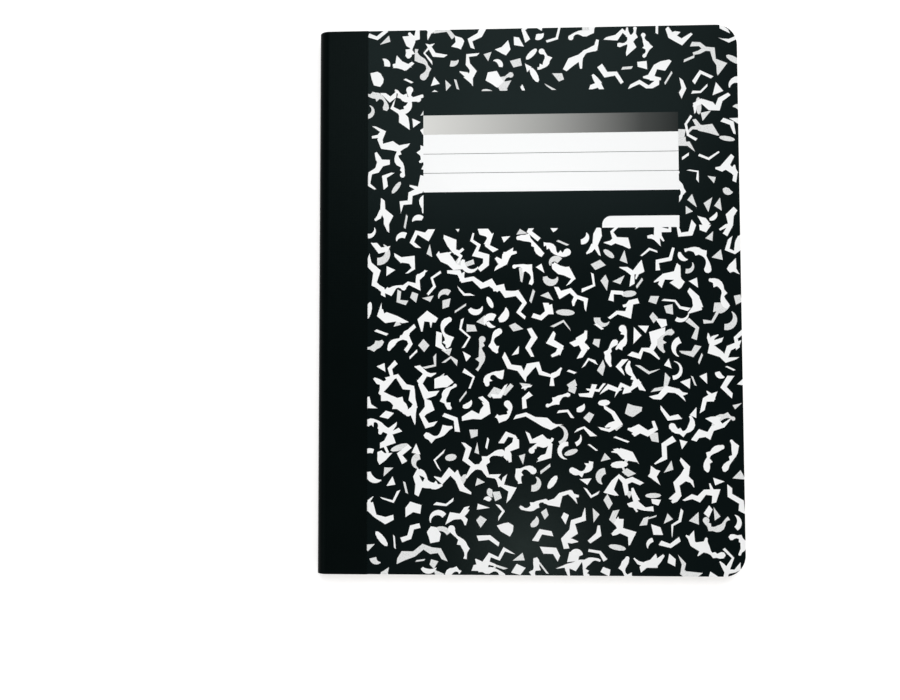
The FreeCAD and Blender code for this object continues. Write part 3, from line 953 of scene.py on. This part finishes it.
def tape_mesh(name, side, rows=80):
    """A closed strip: an outer and an inner face, joined round their rims."""
    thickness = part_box("front_tape")[1].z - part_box("front_tape")[0].z
    outer, inner = tape_path(side, 0.0), tape_path(side, thickness)
    across = len(outer)
    rng = random.Random(FRONT_EDGE_SEED if side > 0 else BACK_EDGE_SEED)
    wander = [rng.uniform(0, 1) * EDGE_WANDER for _ in range(rows + 1)]
    reach = [0.0]
    for (x0, z0), (x1, z1) in zip(outer, outer[1:]):
        reach.append(reach[-1] + math.hypot(x1 - x0, z1 - z0))
    verts, spots = [], []
    for path in (outer, inner):
        for row in range(rows + 1):
            y = head_y * (2 * row / rows - 1)
            for column, (x, z) in enumerate(path):
                verts.append((x + (wander[row] if column == across - 1 else 0.0), y, z))
                spots.append((reach[column], y))
    layer = across * (rows + 1)
    faces = []
    for row in range(rows):
        for column in range(across - 1):
            a = row * across + column
            quad = (a, a + 1, a + 1 + across, a + across)
            faces += [quad, tuple(i + layer for i in reversed(quad))]
    rim = [row * across for row in range(rows, -1, -1)]
    rim += list(range(1, across))
    rim += [(row + 1) * across - 1 for row in range(1, rows + 1)]
    rim += [rows * across + column for column in range(across - 2, 0, -1)]
    for a, b in zip(rim, rim[1:] + rim[:1]):
        faces.append((b, a, a + layer, b + layer))
    mesh = bpy.data.meshes.new(name)
    mesh.from_pydata(verts, [], faces)
    weave = mesh.uv_layers.new(name="along_the_tape")
    for loop in mesh.loops:
        weave.data[loop.index].uv = spots[loop.vertex_index]
    shape = bmesh.new()
    shape.from_mesh(mesh)
    bmesh.ops.recalc_face_normals(shape, faces=shape.faces)
    shape.to_mesh(mesh)
    shape.free()
    return mesh


def book_cloth():
    """Black cloth, filled and calendered, so that its threads show only as a fine grain."""
    material, tree, shader = new_material("black_book_cloth")
    place = tree.add("ShaderNodeUVMap", uv_map="along_the_tape").outputs[0]
    heights = []
    for direction in ("X", "Y"):
        threads = tree.add("ShaderNodeTexWave", {"Vector": place, "Scale": 420.0,
                                                 "Distortion": 1.2, "Detail": 2.0,
                                                 "Detail Scale": 2.0},
                           wave_type="BANDS", bands_direction=direction)
        heights.append(threads.outputs["Fac"])
    woven = tree.math("MAXIMUM", *heights)
    patches = tree.add("ShaderNodeTexNoise", {"Vector": place, "Scale": 60.0, "Detail": 4.0})
    # Painted shade darkens the gaps between threads; the raised threads are lighter in patches.
    tone = tree.math("MULTIPLY", woven, patches.outputs[0])
    colour = tree.mix(tone, CLOTH_DEEP, CLOTH_RAISED_PATCH)
    bump = tree.add("ShaderNodeBump", {"Height": woven, "Distance": 0.03 * MM, "Strength": 0.5})
    tree.join(colour, shader.inputs["Base Color"])
    tree.join(bump.outputs[0], shader.inputs["Normal"])
    shader.inputs["Roughness"].default_value = 0.28
    shader.inputs["Specular IOR Level"].default_value = 0.025
    shader.inputs["Specular Tint"].default_value = INK_SHEEN
    return material


BOOK_CLOTH = book_cloth()


def tape_strip(name, side, node):
    """Half of the tape, bent in the crease between the spine and its cover."""
    mesh = tape_mesh(name, side)
    mesh.materials.append(BOOK_CLOTH)
    mesh.shade_smooth()
    mesh.set_sharp_from_angle(angle=math.radians(40))
    piece = place_piece(name, mesh)
    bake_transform(piece)
    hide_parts(node, "spine_tape")


tape_strip("front_tape_strip", 1, "front_tape")
tape_strip("back_tape_strip", -1, "back_tape")


# Floor, light and camera
# A plain white table lies just low enough for the print of a folded back cover to show. An even
# sky and three lamps light the book, and the camera looks almost straight down on it.

FLOOR_SIDE = 6.0
FOLDED_COVER_ROOM = 0.45 * MM
TABLE_SHADE, TABLE_WHITE = (0.90, 0.90, 0.90, 1), (0.92, 0.92, 0.92, 1)
SKY_LEVEL = 0.58

# The table is lifted this much where it is seen, and more and more beyond this far off.
TABLE_LIFT = 0.22
CLEAR_ROUND_BOOK = 0.4

CAMERA_PLACE = (-0.01723, -0.0432, 0.41476)
CAMERA_TURN = (2.785, 2.504, -0.086)
LENS, SENSOR = 36.0, 36.0


def background_rays(tree):
    """1 for rays that show the background, from the camera or in a gloss, and 0 for others."""
    path = tree.add("ShaderNodeLightPath").outputs
    seen = tree.math("MAXIMUM", path["Is Camera Ray"], path["Is Glossy Ray"])
    return tree.math("MAXIMUM", seen, path["Is Transmission Ray"])


def white_table():
    """Plain white, lifted to pure white towards the far edge, where the background begins."""
    material, tree, shader = new_material("white_table")
    place = tree.add("ShaderNodeTexCoord").outputs["Object"]
    cloud = tree.add("ShaderNodeTexNoise", {"Vector": place, "Scale": 3.0, "Detail": 2.0})
    colour = tree.mix(cloud.outputs[0], TABLE_SHADE, TABLE_WHITE)
    tree.join(colour, shader.inputs["Base Color"])
    shader.inputs["Roughness"].default_value = 0.9
    shader.inputs["Specular IOR Level"].default_value = 0.1
    shader.inputs["Emission Color"].default_value = (1, 1, 1, 1)
    away = tree.add("ShaderNodeVectorMath", {0: place}, operation="LENGTH").outputs["Value"]
    fade = tree.add("ShaderNodeMapRange", {"Value": away, "From Min": CLEAR_ROUND_BOOK,
                                           "From Max": FLOOR_SIDE / 2, "To Min": TABLE_LIFT,
                                           "To Max": 1.0})
    lift = tree.math("MULTIPLY", background_rays(tree), fade.outputs[0])
    tree.join(lift, shader.inputs["Emission Strength"])
    return material


def table():
    half, top = FLOOR_SIDE / 2, -FOLDED_COVER_ROOM
    corners = [(-half, -half, top), (half, -half, top), (half, half, top), (-half, half, top)]
    mesh = bpy.data.meshes.new("table")
    mesh.from_pydata(corners, [], [(0, 1, 2, 3)])
    mesh.materials.append(white_table())
    place_piece("table", mesh)


def sky(level):
    """Even light all round, and plain white wherever the background itself is seen."""
    world = bpy.data.worlds.new("sky")
    world.use_nodes = True
    tree = Tree(world.node_tree)
    light = world.node_tree.nodes["Background"]
    light.inputs["Color"].default_value = (1, 1, 1, 1)
    strength = tree.add("ShaderNodeMix", {"Factor": background_rays(tree), 2: level, 3: 1.0})
    tree.join(strength.outputs[0], light.inputs["Strength"])
    bpy.context.scene.world = world


def soft_lamp(name, place, size, watts, colour=(1, 1, 1)):
    """A soft rectangular lamp that shines on the middle of the book."""
    data = bpy.data.lights.new(name, "AREA")
    data.color = colour
    data.shape = "RECTANGLE"
    data.size, data.size_y = size
    data.energy = watts
    lamp = bpy.data.objects.new(name, data)
    lamp.location = place
    lamp.rotation_euler = (-Vector(place)).to_track_quat("-Z", "Y").to_euler()
    bpy.context.scene.collection.objects.link(lamp)


def camera():
    data = bpy.data.cameras.new("camera")
    data.lens = LENS
    data.sensor_width = SENSOR
    data.clip_start = 0.01
    eye = bpy.data.objects.new("camera", data)
    eye.location = CAMERA_PLACE
    eye.rotation_euler = [math.radians(angle) for angle in CAMERA_TURN]
    bpy.context.scene.collection.objects.link(eye)
    bpy.context.scene.camera = eye


table()
sky(SKY_LEVEL)
soft_lamp("head_lamp", place=(0.03, 0.70, 1.52), size=(0.85, 0.68), watts=10.4)
soft_lamp("side_lamp", place=(-0.9, -0.45, 0.8), size=(0.6, 0.6), watts=1.0)
soft_lamp("desk_lamp", place=(0.04, -0.28, 0.95), size=(0.09, 0.09), watts=0.9,
          colour=(1.0, 0.92, 0.86))
camera()
bpy.context.scene.view_settings.view_transform = "Standard"
